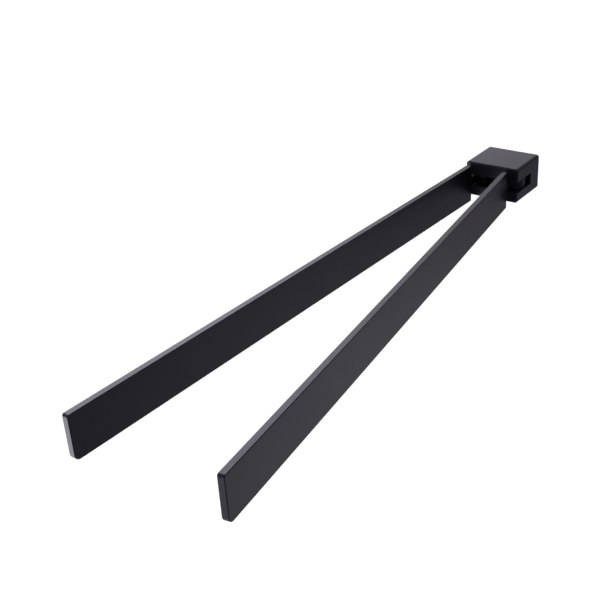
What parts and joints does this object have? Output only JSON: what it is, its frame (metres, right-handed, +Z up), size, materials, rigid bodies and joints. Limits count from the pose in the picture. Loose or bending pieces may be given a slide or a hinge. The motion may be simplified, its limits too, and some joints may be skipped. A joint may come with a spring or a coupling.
{
  "type": "two-arm towel holder",
  "caption": "Wall block with a slot across its front in which flat bars swing sideways on upright hinge pins to hold towels.",
  "frame": {"origin": "middle of the face against the wall", "axes": "+X to the right seen from the room, +Y into the wall, +Z up; the arms point along -Y"},
  "size_m": [0.0967, 0.4097, 0.0286],
  "materials": {
    "bracket_block": "matt black powder coat, fine texture, soft sheen",
    "arm_bar": "matt black powder coat, fine texture, soft sheen",
    "hinge_knuckle": "matt black powder coat, fine texture, soft sheen",
    "pivot_screw": "turned stainless steel",
    "thread_insert": "plain turned brass",
    "washer": "black acetal",
    "disc_spring": "phosphated spring steel, dull dark grey",
    "pivot_bush": "sintered bronze",
    "wall_plate": "stamped stainless steel",
    "clamp_screw": "plain stainless steel"
  },
  "bodies": {
    "bracket": {"bracket_block": "bracket_block", "wall_plate": "wall_plate", "clamp_screw": "clamp_screw", "left_pivot_screw": "pivot_screw", "left_thread_insert": "thread_insert", "left_lower_washer": "washer", "left_upper_washer": "washer", "left_disc_spring": "disc_spring", "right_pivot_screw": "pivot_screw", "right_thread_insert": "thread_insert", "right_lower_washer": "washer", "right_upper_washer": "washer", "right_disc_spring": "disc_spring"},
    "left_arm": {"left_arm_bar": "arm_bar", "left_hinge_knuckle": "hinge_knuckle", "left_pivot_bush": "pivot_bush"},
    "right_arm": {"right_arm_bar": "arm_bar", "right_hinge_knuckle": "hinge_knuckle", "right_pivot_bush": "pivot_bush"}
  },
  "joints": [
    {"name": "left_arm_swing", "type": "hinge", "parent": "bracket", "child": "left_arm", "pos_m": [-0.01235, -0.0193, 0], "axis": [0, 0, -1], "range_deg": [-2, 88]},
    {"name": "right_arm_swing", "type": "hinge", "parent": "bracket", "child": "right_arm", "pos_m": [0.01235, -0.0193, 0], "axis": [0, 0, 1], "range_deg": [-8, 82]}
  ]
}
